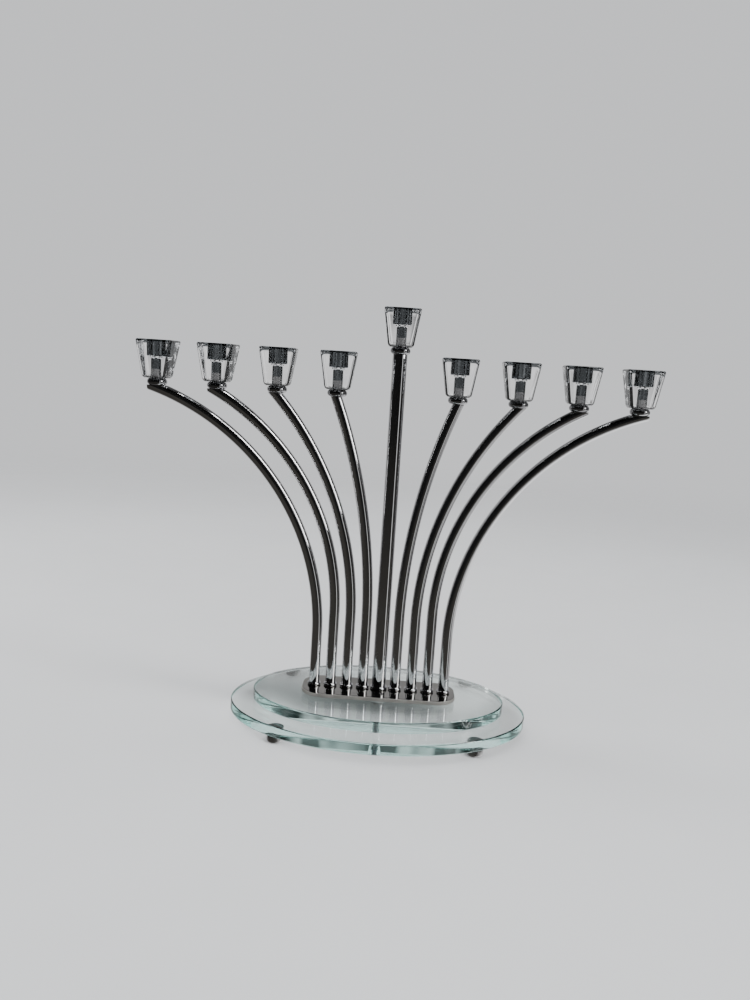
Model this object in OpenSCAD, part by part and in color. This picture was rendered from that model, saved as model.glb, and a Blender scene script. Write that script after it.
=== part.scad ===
// Nine-branch candle holder: four curved round rods on each side of a taller
// straight centre stem, square crystal candle cups, and a stepped base of two
// clear glass ovals on four short feet.
// Millimetres. +Z is up, the front faces -Y, the rods stand in one row along X.
// The origin is the centre of the base, on the surface that the feet stand on.

/* [Overall layout] */
// Centre-to-centre distance of neighbouring candle cups
cup_pitch = 33; // [30:0.5:38]
// Height of the eight side cups' collars above the stem plate, to mid collar
side_rise = 165.6; // [150:0.2:190]
// Height of the centre cup's collar above the stem plate, to mid collar
centre_rise = 190.4; // [190:0.2:220]
// Centre-to-centre distance of neighbouring rods where they leave the plate
rod_pitch = 9.2; // [9.2:0.05:9.8]

/* [Rods] */
// Diameter of the eight curved rods
arm_d = 6; // [5:0.1:6.4]
// Diameter of the straight centre stem
stem_d = 8; // [7:0.1:8.6]
// Straight length of each rod above the plate before it bends, inner to outer
bend_start = [38.4, 39.6, 42.6, 30]; // [20:0.2:60]
// Diameter of the turned peg under each rod
rod_peg_d = 4; // [3:0.1:4.5]
// Depth of the hole that takes the post's peg in each rod's top
post_hole_depth = 2.5; // [2:0.1:3]

/* [Rings at the rods' feet] */
// Width of a ring's band outside its rod
foot_ring_band = 0.85; // [0.4:0.05:0.9]
// Height of a ring
foot_ring_h = 1.7; // [1:0.1:3]

/* [Candle cups] */
// Side of the square cup at its top
cup_top_w = 20.3; // [18:0.1:24]
// Side of the square cup at its underside
cup_bottom_w = 13.8; // [12:0.1:16]
// Height of a cup
cup_h = 20.8; // [18:0.1:24]
// Corner radius at the top
cup_top_r = 2.2; // [1:0.1:3]
// Corner radius at the underside
cup_bottom_r = 2.6; // [2:0.1:3]
// Diameter of the candle hole
candle_d = 10.4; // [9.8:0.1:11.5]
// Depth of the candle hole
candle_depth = 8.6; // [7:0.1:9]
// Diameter of the small step under the candle hole
step_d = 7; // [6.6:0.1:9]
// Depth of the small step
step_depth = 1; // [0.5:0.1:1.5]
// Gap between a post and the cup's lower bore, on the radius
post_gap = 0.2; // [0.05:0.05:0.3]
// Turn of each cup about its own axis, left to right, in degrees
cup_turn = [-3, -3.5, 2, 1.5, 0, -1.5, -2, -3.5, -3]; // [-6:0.5:6]

/* [Collars and posts] */
// Outside diameter of a collar
collar_d = 10.9; // [10:0.1:12]
// Height of a collar, which is also its bead's thickness
collar_h = 3.8; // [3:0.1:4.4]
// Diameter of a post
post_d = 5.2; // [4.6:0.1:5.4]
// Height of a post above its collar
post_h = 5.2; // [4:0.1:8]
// Diameter of the peg under a post
post_peg_d = 3; // [2:0.1:3.4]
// Rounding of a post's top edge
post_round = 1.1; // [0.5:0.1:1.5]

/* [Stem plate] */
// Length of the chrome plate
plate_l = 86.8; // [85:0.2:100]
// Depth of the chrome plate, front to back
plate_w = 32.4; // [28:0.2:40]
// Thickness of the chrome plate
plate_t = 2.2; // [1.6:0.1:3]
// Corner radius of the chrome plate
plate_r = 12; // [8:0.5:14]

/* [Glass ovals] */
// Length of the lower oval
lower_l = 167; // [155:0.5:185]
// Depth of the lower oval, front to back
lower_w = 121; // [110:0.5:135]
// Length of the upper oval
upper_l = 142; // [130:0.5:150]
// Depth of the upper oval, front to back
upper_w = 93; // [85:0.5:105]
// Thickness of each oval
glass_t = 6.2; // [5:0.1:8]
// Diameter of the centre hole in the lower oval
lower_hole_d = 5.6; // [4.6:0.1:6]
// Diameter of the centre hole in the upper oval
upper_hole_d = 4.4; // [4.2:0.1:5]

/* [Centre screw] */
// Diameter of the screw
screw_d = 4; // [3:0.1:4]
// Depth that the screw reaches into the centre stem
screw_reach = 8; // [6:0.5:14]
// Diameter of the screw's head
screw_head_d = 7.6; // [6:0.1:8]
// Height of the screw's head
screw_head_h = 2; // [1.5:0.1:2.2]
// Across-flats size of the hexagon socket in the head
socket_af = 2.5; // [2:0.1:3]
// Depth of the hexagon socket
socket_depth = 1.2; // [0.8:0.1:1.4]
// Outside diameter of the soft washer
washer_d = 12; // [9:0.5:16]
// Thickness of the soft washer
washer_t = 0.8; // [0.5:0.1:1]

/* [Feet] */
// Diameter of a foot
foot_d = 9; // [8:0.1:12]
// Height of a foot
foot_h = 3.8; // [3.6:0.1:6]
// Rounding of a foot's lower edge
foot_round = 1.3; // [0.5:0.1:1.6]
// Distance of the feet from the middle, along X
foot_x = 53; // [45:0.5:60]
// Distance of the feet from the middle, along Y
foot_y = 41; // [34:0.5:42]

/* [Hidden] */
$fn = 64;
corner_facets = 32;
bend_facets = 180;
rod_facets = 48;
side_pairs = 4;
centre_cup = side_pairs;
// Air left around a cutting block so that it clears the piece it cuts
cut_gap = 1;
cut_size = 400;
// The arc runs past the cup so that the level cut closes the rod's top
arc_overrun = 8;
// Bend radii are rounded to this step
bend_step = 0.1;
// The outer tip of a rod stops just inside its collar
tip_inset = 0.5;
// Depth of the rod's centre line below mid collar, at the cup's axis
centre_line_drop = 3;
lower_z = foot_h;
upper_z = lower_z + glass_t;
plate_z = upper_z + glass_t;
plate_top = plate_z + plate_t;
side_seat = plate_top + side_rise - collar_h / 2;
centre_seat = plate_top + centre_rise - collar_h / 2;
arm_r = arm_d / 2;
stem_r = stem_d / 2;
post_r = post_d / 2;
bore_r = post_r + post_gap;
collar_bead = collar_h / 2;
stem_groove = 0.35;
// Lower edge of a cup, as steps of [height, how far it draws in]
cup_edge = [[0, 1.6], [0.5, 0.65], [1.8, 0]];

function cup_x(i) = (i - centre_cup) * cup_pitch;
function seat_z(i) = i == centre_cup ? centre_seat : side_seat;

// A clear oval slab with a centre hole
module oval_slab(length, width, hole_d) {
    difference() {
        scale([length / width, 1, 1])
            cylinder(d = width, h = glass_t);
        translate([0, 0, -cut_gap])
            cylinder(d = hole_d, h = glass_t + 2 * cut_gap);
    }
}

module lower_oval() {
    color([0.86, 0.94, 0.92, 0.35])
        translate([0, 0, lower_z])
            oval_slab(lower_l, lower_w, lower_hole_d);
}

module upper_oval() {
    color([0.86, 0.94, 0.92, 0.35])
        translate([0, 0, upper_z])
            oval_slab(upper_l, upper_w, upper_hole_d);
}

// Flat outline of the chrome plate: a rectangle with round corners
module plate_outline() {
    square([plate_l - 2 * plate_r, plate_w], center = true);
    square([plate_l, plate_w - 2 * plate_r], center = true);
    for (sx = [-1, 1])
        for (sy = [-1, 1])
            translate([sx * (plate_l / 2 - plate_r), sy * (plate_w / 2 - plate_r)])
                circle(r = plate_r);
}

module stem_plate() {
    color([0.62, 0.62, 0.63])
        difference() {
            translate([0, 0, plate_z])
                linear_extrude(plate_t)
                    plate_outline();
            for (i = [1 : side_pairs])
                for (side = [-1, 1])
                    translate([side * i * rod_pitch, 0, plate_z - cut_gap])
                        cylinder(d = rod_peg_d, h = plate_t + 2 * cut_gap);
            translate([0, 0, plate_z - cut_gap])
                cylinder(d = screw_d, h = plate_t + 2 * cut_gap);
        }
}

// Screw up through both ovals and the plate into the centre stem
module base_screw() {
    head_top = lower_z - washer_t;
    color([0.45, 0.45, 0.46])
        difference() {
            union() {
                translate([0, 0, head_top - screw_head_h])
                    cylinder(d = screw_head_d, h = screw_head_h);
                translate([0, 0, head_top - screw_head_h])
                    cylinder(d = screw_d, h = plate_top + screw_reach - head_top + screw_head_h);
            }
            translate([0, 0, head_top - screw_head_h - cut_gap])
                cylinder(d = socket_af / cos(30), h = socket_depth + cut_gap, $fn = 6);
        }
}

module screw_washer() {
    color([0.8, 0.82, 0.82])
        translate([0, 0, lower_z - washer_t])
            difference() {
                cylinder(d = washer_d, h = washer_t);
                translate([0, 0, -cut_gap])
                    cylinder(d = screw_d, h = washer_t + 2 * cut_gap);
            }
}

// A short round foot, flat under the glass, with a rounded lower edge
module foot(side_x, side_y) {
    r = foot_d / 2;
    color([0.72, 0.72, 0.72])
        translate([side_x * foot_x, side_y * foot_y, 0])
            rotate_extrude()
                union() {
                    translate([0, foot_round])
                        square([r, foot_h - foot_round]);
                    square([r - foot_round, foot_h]);
                    intersection() {
                        translate([r - foot_round, foot_round])
                            circle(r = foot_round);
                        square([r, foot_h]);
                    }
                }
}

// A small rounded ring that closes the joint between a rod and the plate
module foot_ring(inner_r, groove) {
    bead = foot_ring_h / 2;
    translate([0, 0, plate_top])
        difference() {
            union() {
                cylinder(r = inner_r + foot_ring_band - bead / 2, h = foot_ring_h);
                translate([0, 0, bead])
                    rotate_extrude()
                        translate([inner_r + foot_ring_band - bead / 2, 0])
                            circle(r = bead / 2);
            }
            translate([0, 0, -cut_gap])
                cylinder(r = inner_r, h = foot_ring_h + 2 * cut_gap);
            if (groove > 0)
                translate([0, 0, foot_ring_h])
                    rotate_extrude()
                        translate([inner_r + foot_ring_band / 2, 0])
                            circle(r = groove / 2, $fn = 24);
        }
}

module arm_rings() {
    color([0.7, 0.7, 0.71])
        for (i = [1 : side_pairs])
            for (side = [-1, 1])
                translate([side * i * rod_pitch, 0, 0])
                    foot_ring(arm_r, 0);
}

module stem_ring() {
    color([0.7, 0.7, 0.71])
        foot_ring(stem_r, stem_groove);
}

// The straight centre stem, bored below for the screw and above for the post
module stem() {
    color([0.3, 0.3, 0.31])
        difference() {
            translate([0, 0, plate_top])
                cylinder(r = stem_r, h = centre_seat - plate_top);
            translate([0, 0, plate_top - cut_gap])
                cylinder(d = screw_d, h = screw_reach + cut_gap);
            translate([0, 0, centre_seat - post_hole_depth])
                cylinder(d = post_peg_d, h = post_hole_depth + cut_gap);
        }
}

// One curved rod: upright from the plate, then a single arc out to its cup.
// pair counts outwards from the stem, side is -1 for left and 1 for right.
module arm(pair, side) {
    foot = pair * rod_pitch;
    reach = pair * cup_pitch;
    bend_z = plate_top + bend_start[pair - 1];
    run = reach - foot;
    climb = plate_top + side_rise - centre_line_drop - bend_z;
    sweep = 2 * atan2(run, climb);
    bend_r = round(run / (1 - cos(sweep)) / bend_step) * bend_step;
    over = arc_overrun / bend_r * 180 / PI;
    color([0.3, 0.3, 0.31])
        mirror([side < 0 ? 1 : 0, 0, 0])
            difference() {
                union() {
                    translate([foot, 0, plate_z])
                        cylinder(d = rod_peg_d, h = plate_t + cut_gap);
                    translate([foot, 0, plate_top])
                        cylinder(r = arm_r, h = bend_z - plate_top);
                    translate([foot + bend_r, 0, bend_z])
                        rotate([90, 0, 0])
                            mirror([1, 0, 0])
                                rotate_extrude(angle = round(sweep + over), $fn = bend_facets)
                                    translate([bend_r, 0])
                                        circle(r = arm_r, $fn = rod_facets);
                }
                translate([-cut_size / 2, -cut_size / 2, side_seat])
                    cube([cut_size, cut_size, cut_size]);
                translate([reach + collar_d / 2 - tip_inset, -cut_size / 2, 0])
                    cube([cut_size, cut_size, cut_size]);
                translate([reach, 0, side_seat - post_hole_depth])
                    cylinder(d = post_peg_d, h = post_hole_depth + cut_gap);
            }
}

// A bead-edged collar that carries the cup on the level top of its rod
module collar(i) {
    color([0.6, 0.6, 0.61])
        translate([cup_x(i), 0, seat_z(i)])
            difference() {
                union() {
                    cylinder(r = collar_d / 2 - collar_bead, h = collar_h);
                    translate([0, 0, collar_bead])
                        rotate_extrude()
                            translate([collar_d / 2 - collar_bead, 0])
                                circle(r = collar_bead);
                }
                translate([0, 0, -cut_gap])
                    cylinder(r = post_r, h = collar_h + 2 * cut_gap);
            }
}

// A round post that stands through the collar and centres the cup
module post(i) {
    top = collar_h + post_h;
    color([0.55, 0.55, 0.56])
        translate([cup_x(i), 0, seat_z(i)])
            union() {
                translate([0, 0, -post_hole_depth])
                    cylinder(d = post_peg_d, h = post_hole_depth + cut_gap);
                cylinder(r = post_r, h = top - post_round);
                translate([0, 0, top - post_round])
                    cylinder(r = post_r - post_round, h = post_round);
                translate([0, 0, top - post_round])
                    rotate_extrude()
                        translate([post_r - post_round, 0])
                            intersection() {
                                circle(r = post_round);
                                square([post_round, post_round]);
                            }
            }
}

// A square tapered crystal cup with a candle hole, a step and a lower bore
module cup(i) {
    color([0.9, 0.93, 0.94, 0.35])
        translate([cup_x(i), 0, seat_z(i) + collar_h])
            rotate([0, 0, cup_turn[i]])
                difference() {
                    cup_body();
                    translate([0, 0, cup_h - candle_depth])
                        cylinder(d = candle_d, h = candle_depth + cut_gap);
                    translate([0, 0, cup_h - candle_depth - step_depth])
                        cylinder(d = step_d, h = step_depth + cut_gap);
                    translate([0, 0, -cut_gap])
                        cylinder(r = bore_r, h = cup_h);
                }
}

// Outer form of a cup: tapered, with round upright corners and a soft lower edge
module cup_body() {
    slab = 0.2;
    hull()
        for (sx = [-1, 1])
            for (sy = [-1, 1]) {
                translate([sx, sy, 0] * (cup_top_w / 2 - cup_top_r))
                    translate([0, 0, cup_h - slab])
                        cylinder(r = cup_top_r, h = slab, $fn = corner_facets);
                for (step = cup_edge)
                    translate([sx, sy, 0] * (cup_bottom_w / 2 - cup_bottom_r))
                        translate([0, 0, step[0]])
                            cylinder(r = cup_bottom_r - step[1], h = slab, $fn = corner_facets);
            }
}

lower_oval();
upper_oval();
stem_plate();
base_screw();
screw_washer();
foot(-1, -1);  // foot_front_left
foot(1, -1);  // foot_front_right
foot(-1, 1);  // foot_back_left
foot(1, 1);  // foot_back_right
arm_rings();
stem_ring();
stem();
arm(4, -1);  // arm_1
arm(3, -1);  // arm_2
arm(2, -1);  // arm_3
arm(1, -1);  // arm_4
arm(1, 1);  // arm_6
arm(2, 1);  // arm_7
arm(3, 1);  // arm_8
arm(4, 1);  // arm_9
collar(0);  // collar_1
collar(1);  // collar_2
collar(2);  // collar_3
collar(3);  // collar_4
collar(4);  // collar_5
collar(5);  // collar_6
collar(6);  // collar_7
collar(7);  // collar_8
collar(8);  // collar_9
post(0);  // post_1
post(1);  // post_2
post(2);  // post_3
post(3);  // post_4
post(4);  // post_5
post(5);  // post_6
post(6);  // post_7
post(7);  // post_8
post(8);  // post_9
cup(0);  // cup_1
cup(1);  // cup_2
cup(2);  // cup_3
cup(3);  // cup_4
cup(4);  // cup_5
cup(5);  // cup_6
cup(6);  // cup_7
cup(7);  // cup_8
cup(8);  // cup_9
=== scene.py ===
"""Nine-branch menorah: chrome rods, crystal candle cups and a stepped base of clear glass ovals.

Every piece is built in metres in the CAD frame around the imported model, and its place
comes from the CAD nodes' boxes. MM turns the drawing's millimetres into metres.
"""

import math

import bmesh
import bpy
from mathutils import Matrix, Vector


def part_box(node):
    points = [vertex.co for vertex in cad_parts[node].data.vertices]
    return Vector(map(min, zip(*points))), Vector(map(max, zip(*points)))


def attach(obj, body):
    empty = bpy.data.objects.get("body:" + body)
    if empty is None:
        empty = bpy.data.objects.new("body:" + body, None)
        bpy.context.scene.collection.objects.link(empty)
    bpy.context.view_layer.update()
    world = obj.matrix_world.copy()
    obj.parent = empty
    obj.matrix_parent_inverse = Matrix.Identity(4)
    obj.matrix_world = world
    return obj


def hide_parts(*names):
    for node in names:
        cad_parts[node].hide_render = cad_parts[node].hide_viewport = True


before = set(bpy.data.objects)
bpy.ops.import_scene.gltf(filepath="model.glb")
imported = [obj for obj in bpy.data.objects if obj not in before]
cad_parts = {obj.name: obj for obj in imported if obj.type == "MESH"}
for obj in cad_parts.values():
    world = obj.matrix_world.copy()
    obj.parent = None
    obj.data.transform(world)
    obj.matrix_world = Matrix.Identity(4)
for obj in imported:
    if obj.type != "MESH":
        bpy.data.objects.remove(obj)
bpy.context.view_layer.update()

MM = 0.001
CUPS = range(1, 10)
CENTRE = 5
SIDE_ARMS = [n for n in CUPS if n != CENTRE]
STAND = "stand"

# Straight height of each rod above the plate before its bend, inner to outer, in millimetres
BEND_START = (38.4, 39.6, 42.6, 30)
# Height of a collar's middle above the centre line of its rod's end, in millimetres
CENTRE_LINE_DROP = 3.0
# The bends' radii are whole multiples of this many millimetres
BEND_STEP = 0.1
# Turn of each cup about its post, left to right, in degrees
CUP_TURN = (-3, -3.5, 2, 1.5, 0, -1.5, -2, -3.5, -3)
# Visible pieces stop this far short of a neighbour's face, so that no two faces coincide
HAIR = 0.01 * MM


# ---------------------------------------------------------------- mesh tools
def finish_mesh(name, bm, body, slot, nodes, sharp=35.0):
    """Turns a bmesh into a smooth-shaded piece that rides on a body and stands for CAD nodes."""
    bmesh.ops.recalc_face_normals(bm, faces=bm.faces)
    mesh = bpy.data.meshes.new(name)
    bm.to_mesh(mesh)
    bm.free()
    mesh.shade_smooth()
    mesh.set_sharp_from_angle(angle=math.radians(sharp))
    piece = bpy.data.objects.new(name, mesh)
    bpy.context.scene.collection.objects.link(piece)
    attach(piece, body)
    if nodes:
        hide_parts(*nodes)
    mesh.materials.append(MATERIALS[slot])
    # Light reaches what stands in and under the clear glass
    piece.visible_shadow = slot not in ("cup_crystal", "oval_glass")
    return piece


def loft(bm, rings, close=False):
    """Skins a list of rings with quads. close joins the last ring back to the first."""
    verts = [[bm.verts.new(p) for p in ring] for ring in rings]
    count = len(rings[0])
    pairs = list(zip(verts, verts[1:]))
    if close:
        pairs.append((verts[-1], verts[0]))
    for low, high in pairs:
        for i in range(count):
            j = (i + 1) % count
            bm.faces.new((low[i], low[j], high[j], high[i]))
    if not close:
        bm.faces.new(verts[0])
        bm.faces.new(verts[-1])


def circle(radius, z, count, centre=(0.0, 0.0)):
    """A level ring of count points; only the X and Y of centre are used."""
    step = 2 * math.pi / count
    x, y = centre[0], centre[1]
    return [
        Vector((x + radius * math.cos(i * step), y + radius * math.sin(i * step), z))
        for i in range(count)
    ]


def arc_profile(r, z, radius, start, end, steps):
    """(radius, height) points of a circular arc about (r, z), angles in degrees."""
    points = []
    for k in range(steps + 1):
        a = math.radians(start + (end - start) * k / steps)
        points.append((r + radius * math.cos(a), z + radius * math.sin(a)))
    return points


def lathe(bm, profile, count, centre=(0.0, 0.0, 0.0), close=False):
    """Turns (radius, height) points round a vertical axis through centre."""
    rings = [circle(r, centre[2] + z, count, centre) for r, z in profile]
    loft(bm, rings, close)


def node_axis(name):
    """Centre of a node's box in X and Y, with its lowest and highest Z."""
    low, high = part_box(name)
    return (low.x + high.x) / 2, (low.y + high.y) / 2, low.z, high.z


# ---------------------------------------------------------------- materials
MATERIALS = {}


class Nodes:
    """A short way to build one procedural material."""

    def __init__(self, slot):
        self.mat = bpy.data.materials.new(slot)
        self.mat.use_nodes = True
        self.tree = self.mat.node_tree
        self.shader = self.tree.nodes["Principled BSDF"]
        self.output = self.tree.nodes["Material Output"]
        self.coord = self.tree.nodes.new("ShaderNodeTexCoord").outputs["Object"]
        MATERIALS[slot] = self.mat

    def set(self, **values):
        for key, value in values.items():
            self.shader.inputs[key.replace("_", " ")].default_value = value

    def link(self, a, b):
        self.tree.links.new(a, b)

    def scaled(self, scale):
        mapping = self.tree.nodes.new("ShaderNodeMapping")
        mapping.inputs["Scale"].default_value = scale
        self.link(self.coord, mapping.inputs["Vector"])
        return mapping.outputs["Vector"]

    def noise(self, scale, detail=4.0, rough=0.55, vector=None):
        n = self.tree.nodes.new("ShaderNodeTexNoise")
        n.inputs["Scale"].default_value = scale
        n.inputs["Detail"].default_value = detail
        n.inputs["Roughness"].default_value = rough
        self.link(vector or self.coord, n.inputs["Vector"])
        return n.outputs["Fac"]

    def turned_rings(self, scale):
        """Level bands, as a cutting tool leaves on a turned piece."""
        n = self.tree.nodes.new("ShaderNodeTexWave")
        n.bands_direction = "Z"
        n.inputs["Scale"].default_value = scale
        self.link(self.coord, n.inputs["Vector"])
        return n.outputs["Fac"]

    def ramp(self, value, low, high, stops=(0.35, 0.65)):
        """Maps a value between the stops onto two numbers or two colours."""
        n = self.tree.nodes.new("ShaderNodeMapRange")
        self.link(value, n.inputs["Value"])
        n.inputs["From Min"].default_value = stops[0]
        n.inputs["From Max"].default_value = stops[1]
        if isinstance(low, (int, float)):
            n.inputs["To Min"].default_value = low
            n.inputs["To Max"].default_value = high
            return n.outputs["Result"]
        mix = self.tree.nodes.new("ShaderNodeMix")
        mix.data_type = "RGBA"
        self.link(n.outputs["Result"], mix.inputs["Factor"])
        mix.inputs["A"].default_value = (*low, 1)
        mix.inputs["B"].default_value = (*high, 1)
        return mix.outputs["Result"]

    def add(self, a, b):
        n = self.tree.nodes.new("ShaderNodeMath")
        n.operation = "ADD"
        self.link(a, n.inputs[0])
        self.link(b, n.inputs[1])
        return n.outputs[0]

    def bump(self, height, strength, distance):
        n = self.tree.nodes.new("ShaderNodeBump")
        n.inputs["Strength"].default_value = strength
        n.inputs["Distance"].default_value = distance
        self.link(height, n.inputs["Height"])
        self.link(n.outputs["Normal"], self.shader.inputs["Normal"])

    def colour(self, socket):
        self.link(socket, self.shader.inputs["Base Color"])

    def roughness(self, socket):
        self.link(socket, self.shader.inputs["Roughness"])


GLASS_IOR = 1.52
# Colour that the ovals' glass takes on with depth, and how fast
GLASS_GREEN = (0.5, 0.9, 0.84, 1)
GLASS_DEPTH = 7.0


def chrome(slot, dark, light, rough, wear, draw):
    """Polished plating with a cloudy tone, smudged gloss and fine polishing lines.

    The lines run along the axis that draw makes small.
    """
    m = Nodes(slot)
    m.set(Metallic=1.0)
    m.colour(m.ramp(m.noise(55), dark, light))
    lines = m.noise(900, 2.0, 0.6, m.scaled(draw))
    smudge = m.ramp(m.noise(75, 5.0, 0.6), rough, wear, (0.52, 0.8))
    m.roughness(m.add(smudge, m.ramp(lines, 0.0, 0.02)))
    m.bump(m.add(m.noise(140, 2.0), m.ramp(lines, 0.0, 0.12)), 0.02, 0.0001)


def clear_glass(slot, tint, rough, marks, ripple, bright=(1.0, 1.0, 1.0)):
    """Clear polished glass: faint marks soften its gloss, and its surface ripples slightly."""
    m = Nodes(slot)
    m.set(Transmission_Weight=1.0, IOR=GLASS_IOR)
    m.colour(m.ramp(m.noise(18), tint, bright))
    m.roughness(m.ramp(m.noise(90, 6.0, 0.65), rough, marks, (0.55, 0.82)))
    m.bump(m.noise(60, 2.0), ripple, 0.0002)
    return m


def satin(slot, dark, light, low, high, turning):
    """Turned satin metal with fine rings left by the cutting tool."""
    m = Nodes(slot)
    m.set(Metallic=1.0)
    rings = m.turned_rings(turning)
    m.colour(m.ramp(m.noise(300), dark, light))
    m.roughness(m.ramp(m.noise(400, 5.0), low, high))
    m.bump(m.add(rings, m.noise(2500, 2.0)), 0.15, 0.00003)


def make_materials():
    # Plated metal: darker and lighter tone, gloss and smudged gloss, direction of the lines
    chrome("rod_chrome", (0.66, 0.66, 0.67), (0.74, 0.74, 0.75), 0.05, 0.08, (1, 1, 0.02))
    # The plate's chrome is dark and warm grey-brown, painted shade for the shaded floor it mirrors
    chrome("plate_chrome", (0.38, 0.37, 0.355), (0.47, 0.46, 0.44), 0.03, 0.16, (0.03, 1, 1))
    chrome("collar_chrome", (0.52, 0.52, 0.53), (0.64, 0.64, 0.65), 0.04, 0.14, (1, 1, 1))
    # A darker copy of the collar chrome, painted shade for the collars under the cups
    chrome("painted_shade_bead_chrome", (0.3, 0.3, 0.31), (0.42, 0.42, 0.43), 0.04, 0.14, (1, 1, 1))
    # Dark steel, painted shade for the dim posts seen inside the cups
    chrome("post_steel", (0.17, 0.17, 0.175), (0.26, 0.26, 0.26), 0.2, 0.34, (1, 1, 0.05))
    # Crystal cups; near-black glass on their rims' outer edge as a painted dark outline, and dark
    # streaked metal on the walls of their bores as painted dark reflections
    clear_glass("cup_crystal", (0.97, 0.98, 0.99), 0.0, 0.09, 0.05)
    clear_glass("painted_dark_rim", (0.008, 0.009, 0.01), 0.06, 0.18, 0.1, (0.03, 0.034, 0.036))
    bore = Nodes("painted_dark_bore")
    bore.set(Metallic=1.0)
    streaks = bore.noise(420, 3.0, 0.6, bore.scaled((1, 1, 0.03)))
    bore.colour(bore.ramp(streaks, (0.07, 0.076, 0.08), (0.26, 0.275, 0.285), (0.5, 0.8)))
    bore.roughness(bore.ramp(bore.noise(300, 4.0), 0.1, 0.24))
    bore.bump(streaks, 0.2, 0.00005)
    # Float glass, clear through its faces and aqua through its edges
    oval = clear_glass("oval_glass", (0.96, 0.985, 0.98), 0.0, 0.07, 0.03)
    depth = oval.tree.nodes.new("ShaderNodeVolumeAbsorption")
    depth.inputs["Color"].default_value = GLASS_GREEN
    depth.inputs["Density"].default_value = GLASS_DEPTH
    oval.link(depth.outputs["Volume"], oval.output.inputs["Volume"])
    satin("foot_metal", (0.5, 0.5, 0.5), (0.62, 0.62, 0.62), 0.22, 0.36, 900)
    # The plate's cut side is duller than its polished face, and its dark grey-brown is painted
    # shade for the shaded floor it faces
    side = Nodes("plate_side")
    side.set(Metallic=0.5)
    side.colour(side.ramp(side.noise(120), (0.26, 0.25, 0.23), (0.36, 0.345, 0.32)))
    side.roughness(side.ramp(side.noise(300, 4.0), 0.36, 0.5))
    side.bump(side.noise(900, 2.0, 0.6, side.scaled((0.05, 0.05, 1))), 0.2, 0.00004)
    # A near-black top for each foot, painted shade for the dark it shows through the glass
    dark_top = Nodes("painted_dark_foot_top")
    dark_top.set(IOR=1.5)
    dark_top.colour(dark_top.ramp(dark_top.noise(260), (0.008, 0.011, 0.01), (0.03, 0.035, 0.033)))
    dark_top.roughness(dark_top.ramp(dark_top.noise(500, 5.0), 0.2, 0.4))
    dark_top.bump(dark_top.noise(700), 0.2, 0.00005)
    satin("screw_steel", (0.3, 0.3, 0.31), (0.42, 0.42, 0.43), 0.25, 0.45, 1200)
    washer = Nodes("washer_soft")
    washer.set(IOR=1.45, Subsurface_Weight=0.15)
    washer.colour(washer.ramp(washer.noise(250), (0.7, 0.72, 0.72), (0.82, 0.84, 0.84)))
    washer.roughness(washer.ramp(washer.noise(600), 0.35, 0.55))
    washer.bump(washer.noise(1500), 0.2, 0.00004)


# ---------------------------------------------------------------- rods
ROD_SIDES = 56
STRAIGHT_STEPS, BEND_STEPS, STEM_STEPS = 12, 80, 24
# A rod is bent a little too far and then cut off inside the collar's edge
OVERRUN = 8 * MM
TIP_INSET = 0.5 * MM
ROD_EDGE, STEM_EDGE = 0.2 * MM, 0.25 * MM
UP = Vector((0, 0, 1))


def tube_rings(points, tangents, radius, count):
    """Round cross-sections of a rod whose centre line stays in the X-Z plane."""
    rings = []
    for point, tangent in zip(points, tangents):
        across = Vector((tangent.z, 0, -tangent.x))
        rings.append([
            point + radius * (math.cos(a) * across + math.sin(a) * Vector((0, 1, 0)))
            for a in (2 * math.pi * i / count for i in range(count))
        ])
    return rings


def cut_and_round(bm, point, normal, edge):
    """Cuts a rod with a plane, closes it and breaks the sharp edge."""
    geom = list(bm.verts) + list(bm.edges) + list(bm.faces)
    cut = bmesh.ops.bisect_plane(
        bm, geom=geom, plane_co=point, plane_no=normal, clear_outer=True, dist=1e-7
    )["geom_cut"]
    edges = [e for e in cut if isinstance(e, bmesh.types.BMEdge)]
    if not edges:
        return
    bmesh.ops.holes_fill(bm, edges=edges)
    rim = [e for e in edges if e.is_valid]
    bmesh.ops.bevel(
        bm, geom=rim, offset=edge, segments=3, profile=0.5, affect="EDGES", clamp_overlap=True
    )


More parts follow.
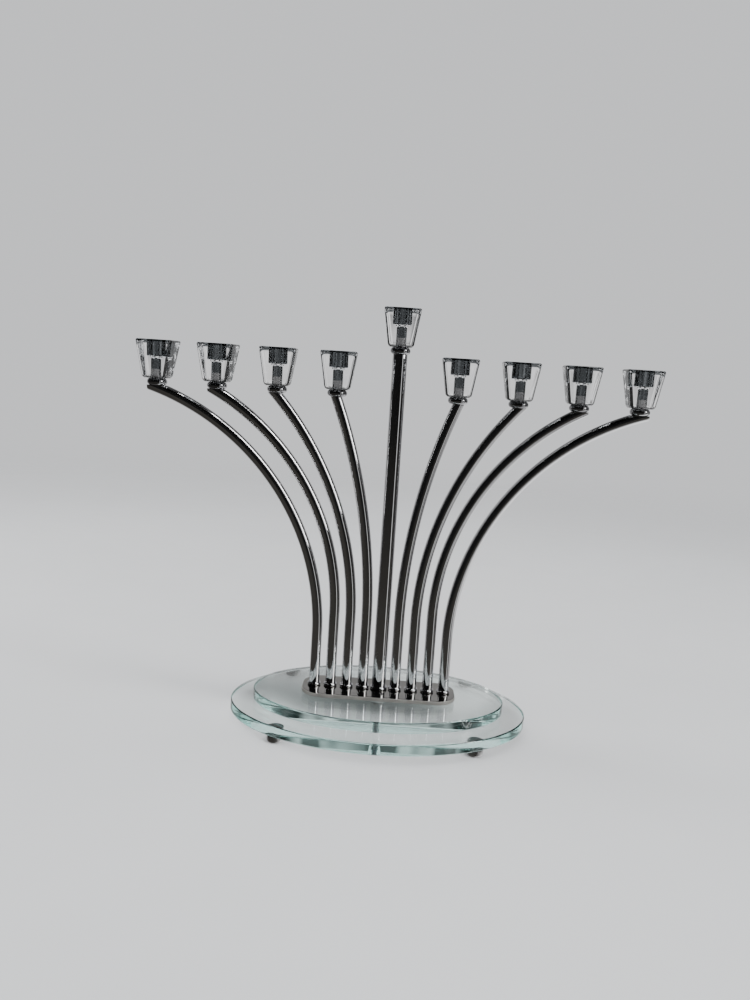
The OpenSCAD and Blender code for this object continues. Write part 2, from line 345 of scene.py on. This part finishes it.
def build_arm(n):
    """One curved rod: straight out of the plate, then one arc, built on the right and mirrored."""
    side = 1 if n > CENTRE else -1
    pair = abs(n - CENTRE)
    name = f"arm_{n}"
    low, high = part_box(name)
    plate_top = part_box("stem_plate")[1].z
    radius = (high.y - low.y) / 2
    inner_x = low.x if side > 0 else -high.x
    foot = inner_x + radius
    reach = abs(node_axis(f"collar_{n}")[0])
    collar_r = (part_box(f"collar_{n}")[1].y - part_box(f"collar_{n}")[0].y) / 2
    bend_z = plate_top + BEND_START[pair - 1] * MM
    mid_collar = (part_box(f"collar_{n}")[0].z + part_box(f"collar_{n}")[1].z) / 2
    climb = mid_collar - CENTRE_LINE_DROP * MM - bend_z
    run = reach - foot
    sweep = 2 * math.atan2(run, climb)
    step = BEND_STEP * MM
    bend_r = round(run / (1 - math.cos(sweep)) / step) * step
    over = OVERRUN / bend_r
    points, tangents = [], []
    for k in range(STRAIGHT_STEPS + 1):
        z = plate_top + (bend_z - plate_top) * k / STRAIGHT_STEPS
        points.append(Vector((foot, 0, z)))
        tangents.append(UP)
    for k in range(1, BEND_STEPS + 1):
        a = (sweep + over) * k / BEND_STEPS
        x = foot + bend_r * (1 - math.cos(a))
        points.append(Vector((x, 0, bend_z + bend_r * math.sin(a))))
        tangents.append(Vector((math.sin(a), 0, math.cos(a))))
    bm = bmesh.new()
    loft(bm, tube_rings(points, tangents, radius, ROD_SIDES))
    outward = Vector((1, 0, 0))
    cut_and_round(bm, Vector((0, 0, high.z)), UP, ROD_EDGE)
    tip = reach + collar_r - TIP_INSET
    cut_and_round(bm, Vector((tip, 0, 0)), outward, ROD_EDGE)
    if side < 0:
        bmesh.ops.transform(bm, matrix=Matrix.Scale(-1, 4, outward), verts=bm.verts)
    finish_mesh(f"rod_{n}", bm, STAND, "rod_chrome", [name], sharp=40)


def build_stem():
    x, y, low, high = node_axis("stem")
    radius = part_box("stem")[1].y - y
    inner = radius - STEM_EDGE
    profile = [(inner, low)] + arc_profile(inner, low + STEM_EDGE, STEM_EDGE, -90, 0, 4)[1:]
    profile += [(radius, low + (high - low) * k / STEM_STEPS) for k in range(1, STEM_STEPS)]
    profile += arc_profile(inner, high - STEM_EDGE, STEM_EDGE, 0, 90, 4)
    bm = bmesh.new()
    lathe(bm, profile, ROD_SIDES, (x, y, 0))
    finish_mesh("centre_stem", bm, STAND, "rod_chrome", ["stem"], sharp=40)


RING_SIDES, BEAD_STEPS = 48, 26
GROOVE_DEPTH, GROOVE_STEPS = 0.14 * MM, (10, 16)
RING_GAP = 0.005 * MM


def ring_profile(inner, outer, low, high, grooves):
    """A bead with a flat underside; grooves cuts fine turned lines into its outer face."""
    bead = (high - low) / 2
    mid = (high + low) / 2
    core = outer - bead
    points = [(inner, low), (core, low)]
    for k in range(1, BEAD_STEPS):
        a = math.radians(-90 + 180 * k / BEAD_STEPS)
        dent = GROOVE_DEPTH if grooves and k in GROOVE_STEPS else 0.0
        points.append((core + (bead - dent) * math.cos(a), mid + (bead - dent) * math.sin(a)))
    points += [(core, high), (inner, high)]
    return points


def build_foot_rings():
    low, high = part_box("arm_rings")
    rod_r = (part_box("arm_9")[1].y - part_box("arm_9")[0].y) / 2
    outer = (high.y - low.y) / 2
    bm = bmesh.new()
    pitch = (high.x - outer) / (CENTRE - 1)
    for n in SIDE_ARMS:
        profile = ring_profile(rod_r + RING_GAP, outer, low.z + HAIR, high.z, False)
        lathe(bm, profile, RING_SIDES, (pitch * (n - CENTRE), 0, 0), close=True)
    finish_mesh("rod_foot_rings", bm, STAND, "collar_chrome", ["arm_rings"], sharp=40)
    low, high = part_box("stem_ring")
    stem_r = (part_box("stem")[1].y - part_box("stem")[0].y) / 2
    bm = bmesh.new()
    profile = ring_profile(stem_r + RING_GAP, high.y, low.z + HAIR, high.z, True)
    lathe(bm, profile, ROD_SIDES, (0, 0, 0), close=True)
    finish_mesh("stem_foot_ring", bm, STAND, "collar_chrome", ["stem_ring"], sharp=40)


# ---------------------------------------------------------------- collars, posts, cups
COLLAR_SIDES, POST_SIDES = 64, 40


def build_collar(n):
    """A round bead whose flat top is the cup's seat, with a shallow turned ring in it."""
    x, y, low, high = node_axis(f"collar_{n}")
    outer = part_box(f"collar_{n}")[1].y - y
    hole = (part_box(f"post_{n}")[1].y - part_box(f"post_{n}")[0].y) / 2
    bead = (high - low) / 2
    core = outer - bead
    chamfer = 0.2 * MM
    ring_floor = high - 0.12 * MM
    profile = [(hole + HAIR, low + chamfer), (hole + chamfer, low)]
    profile += arc_profile(core, low + bead, bead, -90, 90, 22)
    profile += [(core - 0.25 * MM, high), (core - 0.4 * MM, ring_floor)]
    profile += [(hole + 0.5 * MM, ring_floor), (hole + 0.35 * MM, high), (hole + HAIR, high)]
    bm = bmesh.new()
    lathe(bm, profile, COLLAR_SIDES, (x, y, 0), close=True)
    ring = finish_mesh(f"collar_bead_{n}", bm, STAND, "collar_chrome", [f"collar_{n}"], sharp=30)
    # Under the clear cups the collars take a darker copy of the chrome, painted shade for the dark
    # they mirror there
    ring.data.materials[0] = MATERIALS["painted_shade_bead_chrome"]


def build_post(n):
    """The pin that a cup stands on, with a rounded end and a small centre mark from the lathe."""
    x, y, _, high = node_axis(f"post_{n}")
    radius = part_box(f"post_{n}")[1].y - y
    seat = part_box(f"collar_{n}")[0].z
    round_r = 1.1 * MM
    mark_r, mark_floor_r, mark_deep = 0.6 * MM, 0.45 * MM, 0.15 * MM
    rod_gap = 0.02 * MM
    profile = [(radius, seat + rod_gap), (radius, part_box(f"collar_{n}")[1].z)]
    profile += [(radius, high - round_r - 0.5 * MM)]
    profile += arc_profile(radius - round_r, high - round_r, round_r, 0, 90, 10)
    profile += [(mark_r, high), (mark_floor_r, high - mark_deep)]
    bm = bmesh.new()
    lathe(bm, profile, POST_SIDES, (x, y, 0))
    finish_mesh(f"post_pin_{n}", bm, STAND, "post_steel", [f"post_{n}"], sharp=40)


CORNER_STEPS = 9
EDGE_STEPS = 7
QUARTER = math.pi / 2
# Half widths and corner radii of a cup at its top and at its foot
CUP_TOP_HALF, CUP_FOOT_HALF = 10.15 * MM, 6.9 * MM
CUP_TOP_CORNER, CUP_FOOT_CORNER = 2.2 * MM, 2.6 * MM
SMALLEST_CORNER = 0.3 * MM
# The foot's edge draws in by the first and is as high as the second; the rim's edge radius
CUP_DRAW_IN, CUP_FOOT_ROUND = 1.6 * MM, 1.8 * MM
CUP_EDGE = 1.1 * MM
# The candle hole with its lip and floor edge, the step in its floor, and the bore for the post
CANDLE_R, CANDLE_DEEP = 5.2 * MM, 8.6 * MM
LIP, FLOOR_ROUND = 0.45 * MM, 0.8 * MM
STEP_R, STEP_DEEP = 3.5 * MM, 1.0 * MM
BORE_R, BORE_MOUTH, BORE_EDGE = 2.8 * MM, 0.25 * MM, 0.3 * MM


def rounded_square(half, corner):
    """Points of a square with round corners, the same count for every size."""
    points = []
    for q in range(4):
        turn = QUARTER * q
        for k in range(CORNER_STEPS):
            a = QUARTER * k / (CORNER_STEPS - 1)
            px = half - corner + corner * math.cos(a)
            py = half - corner + corner * math.sin(a)
            points.append((turn, px, py))
        for k in range(1, EDGE_STEPS + 1):
            t = k / (EDGE_STEPS + 1)
            points.append((turn, (half - corner) * (1 - 2 * t), half))
    return [
        (px * math.cos(t) - py * math.sin(t), px * math.sin(t) + py * math.cos(t))
        for t, px, py in points
    ]


def build_cup(n):
    """One clear cup as a single closed skin: foot, sides, rim, candle hole, step and bore."""
    x, y, low, high = node_axis(f"cup_{n}")
    height = high - low
    slope = (CUP_TOP_HALF - CUP_FOOT_HALF) / height
    rings = []

    def square_ring(inset, z):
        t = z / height
        half = CUP_FOOT_HALF + slope * z - inset
        corner = CUP_FOOT_CORNER + (CUP_TOP_CORNER - CUP_FOOT_CORNER) * t - inset
        corner = max(corner, SMALLEST_CORNER)
        rings.append([(px, py, z) for px, py in rounded_square(half, corner)])

    top_outline = rounded_square(CUP_TOP_HALF, CUP_TOP_CORNER)
    angles = [math.atan2(py, px) for px, py in top_outline]

    def round_ring(radius, z):
        rings.append([(radius * math.cos(a), radius * math.sin(a), z) for a in angles])

    # Underside, soft lower edge and tapered sides
    round_ring(BORE_R + BORE_MOUTH, 0)
    foot_steps, side_steps, edge_steps, lip_steps = 9, 9, 8, 4
    for k in range(foot_steps + 1):
        a = QUARTER * k / foot_steps
        square_ring(CUP_DRAW_IN * (1 - math.sin(a)), CUP_FOOT_ROUND * (1 - math.cos(a)))
    for k in range(1, side_steps):
        square_ring(0, CUP_FOOT_ROUND + (height - CUP_FOOT_ROUND - CUP_EDGE) * k / side_steps)
    # The rim's outer edge
    rim_start = len(rings)
    for k in range(edge_steps + 1):
        a = QUARTER * k / edge_steps
        square_ring(CUP_EDGE * (1 - math.cos(a)), height - CUP_EDGE * (1 - math.sin(a)))
    rim_end = len(rings) - 1
    # Lip of the candle hole, its wall and the round into its floor
    for k in range(lip_steps + 1):
        a = QUARTER * k / lip_steps
        round_ring(CANDLE_R + LIP * (1 - math.sin(a)), height - LIP * (1 - math.cos(a)))
    wall_start = len(rings) - 1
    floor_z = height - CANDLE_DEEP
    for k in range(1, 5):
        round_ring(CANDLE_R, height - LIP + (floor_z + FLOOR_ROUND - height + LIP) * k / 4)
    for k in range(1, 5):
        a = QUARTER * k / 4
        inset, rise = FLOOR_ROUND * (1 - math.cos(a)), FLOOR_ROUND * (1 - math.sin(a))
        round_ring(CANDLE_R - inset, floor_z + rise)
    wall_end = len(rings) - 1
    # The step, slightly tapered, with a broken edge
    step_z = floor_z - STEP_DEEP
    broken = 0.1 * MM
    round_ring(STEP_R + broken, floor_z)
    round_ring(STEP_R, floor_z - broken)
    round_ring(STEP_R - 0.15 * MM, step_z + broken)
    round_ring(STEP_R - 0.3 * MM, step_z)
    # The bore for the post, down to its mouth in the underside
    round_ring(BORE_R + BORE_EDGE, step_z)
    bore_top = step_z - BORE_EDGE
    round_ring(BORE_R, bore_top)
    bore_start = len(rings) - 1
    post_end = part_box(f"post_{n}")[1].z - low
    round_ring(BORE_R, (bore_top + post_end) / 2)
    round_ring(BORE_R, post_end)
    post_start = len(rings) - 1
    round_ring(BORE_R, post_end / 2)
    round_ring(BORE_R, BORE_MOUTH)
    bore_end = len(rings) - 1
    bm = bmesh.new()
    turn = math.radians(CUP_TURN[n - 1])
    place = Matrix.Translation((x, y, low + HAIR)) @ Matrix.Rotation(turn, 4, "Z")
    loft(bm, [[place @ Vector(p) for p in ring] for ring in rings], close=True)
    # The rim's outer edge takes near-black glass as a painted dark outline, the drilled walls take
    # dark metal as painted dark reflections, and the bore's lower wall takes the post's steel as a
    # painted image of the post
    bm.faces.ensure_lookup_table()
    rim, wall, post = 1, 2, 3
    for first, last, material in (
        (rim_start, rim_end, rim),
        (wall_start, wall_end, wall),
        (bore_start, post_start, wall),
        (post_start, bore_end, post),
    ):
        for face in bm.faces[first * len(angles):last * len(angles)]:
            face.material_index = material
    name, body = f"crystal_cup_{n}", f"candle_cup_{n}"
    cup = finish_mesh(name, bm, body, "cup_crystal", [f"cup_{n}"], sharp=25)
    for extra in ("painted_dark_rim", "painted_dark_bore", "post_steel"):
        cup.data.materials.append(MATERIALS[extra])


# ---------------------------------------------------------------- base
OVAL_SIDES = 288
# Each oval stops this far short of the other, because a film of air lies between them
OVAL_GAP = 0.04 * MM
# The arris is the flat ground along an oval's edges, and these soften where it meets the side
ARRIS, ARRIS_SOFT, ARRIS_RUN = 0.55 * MM, 0.12 * MM, 0.1 * MM
# An extra ring keeps the shading of the flat faces away from the edge
FLAT_INSET = 12 * MM
LOWER_HOLE_R, UPPER_HOLE_R = 2.8 * MM, 2.2 * MM


def build_oval(node, name, hole_r, low_gap, high_gap):
    """A flat oval of float glass with ground edges and a round hole for the screw."""
    low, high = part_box(node)
    half_l, half_w = high.x, high.y
    z0, z1 = low.z + low_gap, high.z - high_gap
    middle = (z0 + z1) / 2
    rings = []

    def oval(inset, z):
        rings.append([
            Vector(((half_l - inset) * math.cos(a), (half_w - inset) * math.sin(a), z))
            for a in (2 * math.pi * i / OVAL_SIDES for i in range(OVAL_SIDES))
        ])

    rings.append(circle(hole_r, z0, OVAL_SIDES))
    oval(FLAT_INSET, z0)
    oval(ARRIS, z0)
    oval(ARRIS_SOFT, z0 + ARRIS - ARRIS_SOFT)
    oval(0, z0 + ARRIS + ARRIS_RUN)
    oval(0, middle)
    oval(0, z1 - ARRIS - ARRIS_RUN)
    oval(ARRIS_SOFT, z1 - ARRIS + ARRIS_SOFT)
    oval(ARRIS, z1)
    oval(FLAT_INSET, z1)
    rings.append(circle(hole_r, z1, OVAL_SIDES))
    rings.append(circle(hole_r, middle, OVAL_SIDES))
    bm = bmesh.new()
    loft(bm, rings, close=True)
    finish_mesh(name, bm, STAND, "oval_glass", [node], sharp=22)


PLATE_CORNER, PLATE_EDGE, PLATE_UNDER_EDGE = 12 * MM, 0.45 * MM, 0.3 * MM
CORNER_TURNS = 16


def build_plate():
    """The polished plate, with round corners, a rolled top edge and a duller side."""
    low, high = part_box("stem_plate")
    half_l, half_w = high.x, high.y

    def outline(inset, z):
        r = PLATE_CORNER - inset
        points = []
        for q, (sx, sy) in enumerate(((1, 1), (-1, 1), (-1, -1), (1, -1))):
            for k in range(CORNER_TURNS + 1):
                a = QUARTER * (q + k / CORNER_TURNS)
                points.append(Vector((
                    sx * (half_l - PLATE_CORNER) + r * math.cos(a),
                    sy * (half_w - PLATE_CORNER) + r * math.sin(a),
                    z,
                )))
        return points

    glass_gap = 0.03 * MM
    rings = [
        outline(PLATE_UNDER_EDGE, low.z + glass_gap),
        outline(0, low.z + PLATE_UNDER_EDGE),
    ]
    edge_steps = 6
    for k in range(edge_steps + 1):
        a = QUARTER * k / edge_steps
        drop = PLATE_EDGE * (1 - math.sin(a))
        rings.append(outline(PLATE_EDGE * (1 - math.cos(a)), high.z - drop))
    rings.append(outline(2.5 * MM, high.z))
    bm = bmesh.new()
    loft(bm, rings)
    side_top = high.z - 0.05 * MM
    for face in bm.faces:
        if max(v.co.z for v in face.verts) < side_top:
            face.material_index = 1
    plate = finish_mesh("chrome_plate", bm, STAND, "plate_chrome", ["stem_plate"], sharp=30)
    plate.data.materials.append(MATERIALS["plate_side"])


FOOT_SIDES = 64


def build_foot(node):
    """A turned button with a soft lower edge and a shallow recess underneath."""
    x, y, low, high = node_axis(node)
    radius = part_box(node)[1].x - x
    soft, top_edge = 1.3 * MM, 0.3 * MM
    # The top is let into the glass, so that no film of air lies between them
    top = high + 0.04 * MM
    profile = [(radius - soft - 0.8 * MM, low + 0.12 * MM), (radius - soft - 0.5 * MM, low)]
    profile += arc_profile(radius - soft, low + soft, soft, -90, 0, 10)
    profile += arc_profile(radius - top_edge, top - top_edge, top_edge, 0, 90, 4)
    bm = bmesh.new()
    lathe(bm, profile, FOOT_SIDES, (x, y, 0))
    # The faces of the top take a near-black material, painted shade for the dark the foot's top
    # shows through the glass
    dark_top_start = top - top_edge - HAIR
    for face in bm.faces:
        if min(v.co.z for v in face.verts) > dark_top_start:
            face.material_index = 1
    foot = finish_mesh(node.replace("foot", "button"), bm, STAND, "foot_metal", [node], sharp=30)
    foot.data.materials.append(MATERIALS["painted_dark_foot_top"])


SCREW_SIDES = 48
SHANK_R, THREAD_PITCH, THREAD_DEEP = 2.0 * MM, 0.7 * MM, 0.35 * MM
SCREW_GAP = 0.02 * MM


def build_screw():
    """The screw that holds the base together, head down, with a hexagon socket in its head."""
    x, y, low, high = node_axis("base_screw")
    head_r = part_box("base_screw")[1].x
    head_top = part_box("screw_washer")[0].z
    rings = []

    def hexagon(z, flats):
        sixth = math.pi / 3
        ring = []
        for i in range(SCREW_SIDES):
            a = 2 * math.pi * i / SCREW_SIDES
            sector = (a + sixth / 2) % sixth - sixth / 2
            r = flats / math.cos(sector)
            ring.append(Vector((x + r * math.cos(a), y + r * math.sin(a), z)))
        rings.append(ring)

    def turned(radius, z):
        rings.append(circle(radius, z, SCREW_SIDES, (x, y)))

    # Socket, slightly tapered, and its chamfered mouth
    socket = 1.25 * MM
    hexagon(low + 1.2 * MM, 0.98 * socket)
    hexagon(low + 0.15 * MM, socket)
    turned(1.7 * MM, low)
    # Head
    head_round, head_edge = 0.7 * MM, 0.1 * MM
    for r, z in arc_profile(head_r - head_round, low + head_round, head_round, -90, 0, 6):
        turned(r, z)
    turned(head_r, head_top - head_edge)
    turned(head_r - head_edge, head_top - SCREW_GAP)
    # Shank with a thread of plain grooves
    turned(SHANK_R, head_top - SCREW_GAP)
    z = head_top + 0.4 * MM
    while z < high - THREAD_PITCH:
        turned(SHANK_R, z)
        turned(SHANK_R - THREAD_DEEP, z + THREAD_PITCH / 2)
        z += THREAD_PITCH
    turned(SHANK_R, z)
    turned(SHANK_R - 0.4 * MM, high)
    bm = bmesh.new()
    loft(bm, rings)
    finish_mesh("centre_screw", bm, STAND, "screw_steel", ["base_screw"], sharp=30)


def build_washer():
    x, y, low, high = node_axis("screw_washer")
    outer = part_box("screw_washer")[1].x
    soft = 0.2 * MM
    top = high - 0.03 * MM
    core, hole = outer - soft, SHANK_R + SCREW_GAP
    profile = [(hole, low), (core, low)]
    profile += arc_profile(core, low + soft, soft, -90, 0, 4)[1:]
    profile += arc_profile(core, top - soft, soft, 0, 90, 4)
    profile += [(hole, top)]
    bm = bmesh.new()
    lathe(bm, profile, SCREW_SIDES, (x, y, 0), close=True)
    finish_mesh("soft_washer", bm, STAND, "washer_soft", ["screw_washer"], sharp=30)


# ---------------------------------------------------------------- stage, light, camera
# The studio differs by what sees it. Each row is a direction in degrees from the front,
# positive towards +X, and a brightness. The camera sees PALE everywhere.
PALE = (0.8, 0.81, 0.83)
# What polished metal mirrors: a dark room with a bright strip, pale towards the back
ROOM = (
    (-180, 0.45), (-130, 0.45), (-116, 0.16), (-104, 0.012), (42, 0.008), (46, 1.0),
    (51, 1.0), (55, 0.012), (90, 0.03), (98, 0.36), (108, 0.4), (113, 0.05),
    (130, 0.05), (138, 0.5), (180, 0.45),
)
# Added to that well below the horizon: a pale table to the right
TABLE = ((-180, 0.0), (62, 0.0), (80, 1.3), (165, 1.3), (172, 0.0), (180, 0.0))
# Faint light that metal mirrors from the floor in every direction
FLOOR_BOUNCE = (0.045, 0.042, 0.037, 1)
# What shows through clear glass: pale in front and behind, dark with bright cards beside it
BEHIND = (
    (-180, 0.84), (-162, 0.84), (-157, 0.03), (-124, 0.03), (-122, 2.4), (-120, 2.4),
    (-118, 0.04), (-106, 0.05), (-104, 3.0), (-98, 3.0), (-95, 0.06), (-78, 0.08),
    (-62, 0.75), (62, 0.75), (76, 0.06), (95, 0.04), (98, 3.0), (104, 3.0), (107, 0.04),
    (119, 0.04), (121, 2.4), (123, 2.4), (125, 0.03), (157, 0.03), (162, 0.84),
    (180, 0.84),
)
FLOOR_RADIUS = 3
# The floor is whole out to the first distance and gone at the second
FLOOR_FADE = (0.45, 1.6)
FLOOR_DROP = 0.1 * MM


def build_floor():
    """A plain pale floor that fades out into the studio, so that no edge shows."""
    bm = bmesh.new()
    bmesh.ops.create_circle(bm, cap_ends=True, segments=96, radius=FLOOR_RADIUS)
    mesh = bpy.data.meshes.new("floor")
    bm.to_mesh(mesh)
    bm.free()
    floor = bpy.data.objects.new("floor", mesh)
    floor.location.z = -FLOOR_DROP
    floor.visible_glossy = False
    bpy.context.scene.collection.objects.link(floor)
    m = Nodes("floor")
    m.colour(m.ramp(m.noise(2), (0.6, 0.61, 0.62), (0.64, 0.65, 0.66)))
    m.roughness(m.ramp(m.noise(30), 0.4, 0.5))
    reach = m.tree.nodes.new("ShaderNodeVectorMath")
    reach.operation = "LENGTH"
    m.link(m.coord, reach.inputs[0])
    fade = m.tree.nodes.new("ShaderNodeMapRange")
    fade.interpolation_type = "SMOOTHSTEP"
    fade.inputs["From Min"].default_value = FLOOR_FADE[0]
    fade.inputs["From Max"].default_value = FLOOR_FADE[1]
    fade.inputs["To Min"].default_value = 1.0
    fade.inputs["To Max"].default_value = 0.0
    m.link(reach.outputs["Value"], fade.inputs["Value"])
    m.link(fade.outputs[0], m.shader.inputs["Alpha"])
    mesh.materials.append(m.mat)


def area(name, place, aim, size, power, mirrored):
    """A soft light. Only a mirrored one shows in the metal, and none shows through glass."""
    data = bpy.data.lights.new(name, "AREA")
    data.shape = "RECTANGLE"
    data.size, data.size_y = size
    data.energy = power
    light = bpy.data.objects.new(name, data)
    light.location = place
    light.rotation_euler = (Vector(aim) - Vector(place)).to_track_quat("-Z", "Y").to_euler()
    light.visible_glossy = mirrored
    light.visible_transmission = False
    bpy.context.scene.collection.objects.link(light)


def build_world():
    """A pale studio, with its own backdrops for what metal mirrors and what glass shows."""
    world = bpy.data.worlds.new("studio")
    bpy.context.scene.world = world
    world.use_nodes = True
    tree = world.node_tree
    tree.nodes.clear()
    new = tree.nodes.new
    link = tree.links.new

    def maths(operation, *values):
        """A math node; each value is a socket to link or a plain number."""
        node = new("ShaderNodeMath")
        node.operation = operation
        for place, value in enumerate(values):
            if isinstance(value, (int, float)):
                node.inputs[place].default_value = value
            else:
                link(value, node.inputs[place])
        return node.outputs[0]

    def remap(value, from_min, from_max, to_min, to_max):
        node = new("ShaderNodeMapRange")
        link(value, node.inputs["Value"])
        node.inputs["From Min"].default_value = from_min
        node.inputs["From Max"].default_value = from_max
        node.inputs["To Min"].default_value = to_min
        node.inputs["To Max"].default_value = to_max
        return node.outputs[0]

    coord = new("ShaderNodeTexCoord").outputs["Generated"]
    split = new("ShaderNodeSeparateXYZ")
    link(coord, split.inputs[0])
    # Direction as 0 to 1 once round, starting and ending behind the object
    turn = maths("ARCTAN2", split.outputs["X"], maths("MULTIPLY", split.outputs["Y"], -1))
    share = remap(turn, -math.pi, math.pi, 0.0, 1.0)

    def backdrop(levels):
        ramp = new("ShaderNodeValToRGB")
        link(share, ramp.inputs["Fac"])
        stops = ramp.color_ramp.elements
        for degrees, level in levels:
            if degrees == -180:
                stop = stops[0]
            elif degrees == 180:
                stop = stops[-1]
            else:
                stop = stops.new((degrees + 180) / 360)
            stop.position = (degrees + 180) / 360
            stop.color = (level, level, level * 1.01, 1)
        return ramp.outputs[0]

    def height_fade(low, high, level):
        """1 at the height low of the direction, and level from high on."""
        return remap(split.outputs["Z"], low, high, 1.0, level)

    def background(colour, strength):
        shader = new("ShaderNodeBackground")
        link(colour, shader.inputs["Color"])
        link(strength, shader.inputs["Strength"])
        return shader.outputs[0]

    def mix_shader(share_of_second, first, second):
        node = new("ShaderNodeMixShader")
        link(share_of_second, node.inputs["Fac"])
        link(first, node.inputs[1])
        link(second, node.inputs[2])
        return node.outputs[0]

    # What metal mirrors, dimmer high above and far below, with the floor and the table added
    dimming = maths("MULTIPLY", height_fade(0.25, 0.7, 0.2), height_fade(-0.45, -0.75, 0.35))
    bounce_colour = new("ShaderNodeRGB")
    bounce_colour.outputs[0].default_value = FLOOR_BOUNCE
    mirrored = background(backdrop(ROOM), dimming)
    for extra in (
        background(bounce_colour.outputs[0], height_fade(-0.3, -0.05, 0.0)),
        background(backdrop(TABLE), height_fade(-0.5, -0.25, 0.0)),
    ):
        added = new("ShaderNodeAddShader")
        link(mirrored, added.inputs[0])
        link(extra, added.inputs[1])
        mirrored = added.outputs[0]
    # What glass shows: above the horizon also a room's light and dark patches, then darkness
    patches = new("ShaderNodeTexNoise")
    patches.inputs["Scale"].default_value = 9.0
    patches.inputs["Detail"].default_value = 1.0
    link(coord, patches.inputs["Vector"])
    level = new("ShaderNodeMix")
    link(height_fade(0.14, 0.24, 0.0), level.inputs["Factor"])
    link(remap(patches.outputs["Fac"], 0.44, 0.56, 0.25, 1.5), level.inputs["A"])
    level.inputs["B"].default_value = 1.0
    lit = maths("MULTIPLY", level.outputs["Result"], height_fade(0.32, 0.5, 0.06))
    through = background(backdrop(BEHIND), lit)
    # Rays through glass count as glossy too, so they are split off from the mirrored ones
    seen = new("ShaderNodeBackground")
    seen.inputs["Color"].default_value = (*PALE, 1)
    path = new("ShaderNodeLightPath")
    inner = mix_shader(path.outputs["Is Transmission Ray"], mirrored, through)
    surface = mix_shader(path.outputs["Is Glossy Ray"], seen.outputs[0], inner)
    out = new("ShaderNodeOutputWorld")
    link(surface, out.inputs["Surface"])


CAMERA_PLACE = (-0.0004, -0.5108, 0.1984)
# Turn to the right, tilt downwards and roll, in degrees
CAMERA_ANGLES = (-0.93, 8.02, 3.63)
SENSOR_WIDTH, LENS = 36, 44.64


def build_camera():
    """The photograph's viewpoint, which is slightly rolled."""
    data = bpy.data.cameras.new("camera")
    data.sensor_fit = "HORIZONTAL"
    data.sensor_width = SENSOR_WIDTH
    data.lens = LENS
    data.clip_start = 0.01
    cam = bpy.data.objects.new("camera", data)
    yaw, pitch, roll = (math.radians(a) for a in CAMERA_ANGLES)
    cam.location = CAMERA_PLACE
    flat = math.cos(pitch)
    forward = Vector((math.sin(yaw) * flat, math.cos(yaw) * flat, -math.sin(pitch)))
    right = Vector((math.cos(yaw), -math.sin(yaw), 0))
    up = right.cross(forward)
    rolled_right = right * math.cos(roll) + up * math.sin(roll)
    rolled_up = up * math.cos(roll) - right * math.sin(roll)
    turn = Matrix((rolled_right, rolled_up, -forward)).transposed()
    cam.rotation_euler = turn.to_euler()
    bpy.context.scene.collection.objects.link(cam)
    bpy.context.scene.camera = cam


make_materials()
for number in SIDE_ARMS:
    build_arm(number)
build_stem()
build_foot_rings()
for number in CUPS:
    build_collar(number)
    build_post(number)
    build_cup(number)
build_oval("lower_oval", "lower_glass", LOWER_HOLE_R, 0.0, OVAL_GAP)
build_oval("upper_oval", "upper_glass", UPPER_HOLE_R, OVAL_GAP, 0.0)
build_plate()
for corner_name in ("front_left", "front_right", "back_left", "back_right"):
    build_foot(f"foot_{corner_name}")
build_screw()
build_washer()
build_floor()
build_world()
area("key", (0.9, -0.35, 1.1), aim=(0, 0, 0.12), size=(0.3, 1.9), power=16, mirrored=True)
area("fill", (-1.0, 0.3, 0.9), aim=(0, 0, 0.1), size=(0.6, 0.8), power=10, mirrored=False)
area("top", (0, 0.2, 1.5), aim=(0, 0, 0.1), size=(1.2, 1.2), power=12, mirrored=False)
build_camera()
# Enough bounces for light to cross the ovals from edge to edge
cycles = bpy.context.scene.cycles
cycles.max_bounces = 24
cycles.glossy_bounces = 20
cycles.transmission_bounces = 24
